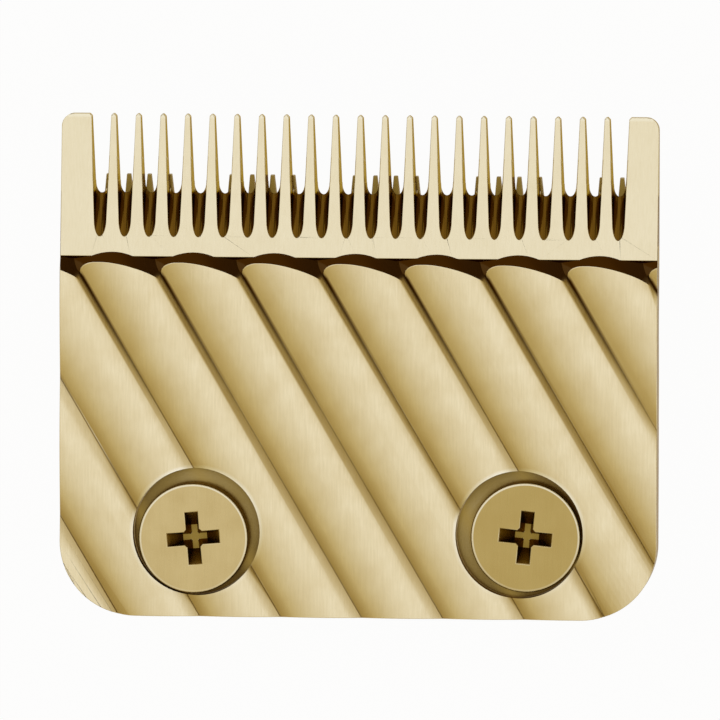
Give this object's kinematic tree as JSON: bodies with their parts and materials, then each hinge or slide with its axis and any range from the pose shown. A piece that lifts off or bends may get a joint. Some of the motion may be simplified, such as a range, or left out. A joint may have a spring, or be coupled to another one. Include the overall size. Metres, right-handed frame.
{
  "type": "hair clipper blade",
  "caption": "Gold-toned clipper blade set: a comb blade with tapered teeth and slanted ridges, a finer cutter that slides behind it, and two cross-recess screws.",
  "frame": {"origin": "midway between the two screw holes, on the comb blade's flat rear face", "axes": "+X across the teeth, +Y towards the tooth tips, +Z out of the ridged front face"},
  "size_m": [0.046, 0.0386, 0.0098],
  "materials": {
    "comb_steel": "gold-toned coating, satin, finely brushed",
    "cutter_steel": "gold-toned coating, ground",
    "screw_steel": "gold-toned coating, satin"
  },
  "bodies": {
    "comb": {"fixed_blade": "comb_steel", "left_screw": "screw_steel", "right_screw": "screw_steel"},
    "cutter": {"cutter": "cutter_steel"}
  },
  "joints": [
    {"name": "cutter_slide", "type": "slide", "parent": "comb", "child": "cutter", "axis": [1, 0, 0], "range_m": [-0.00172, 0.00108]}
  ]
}
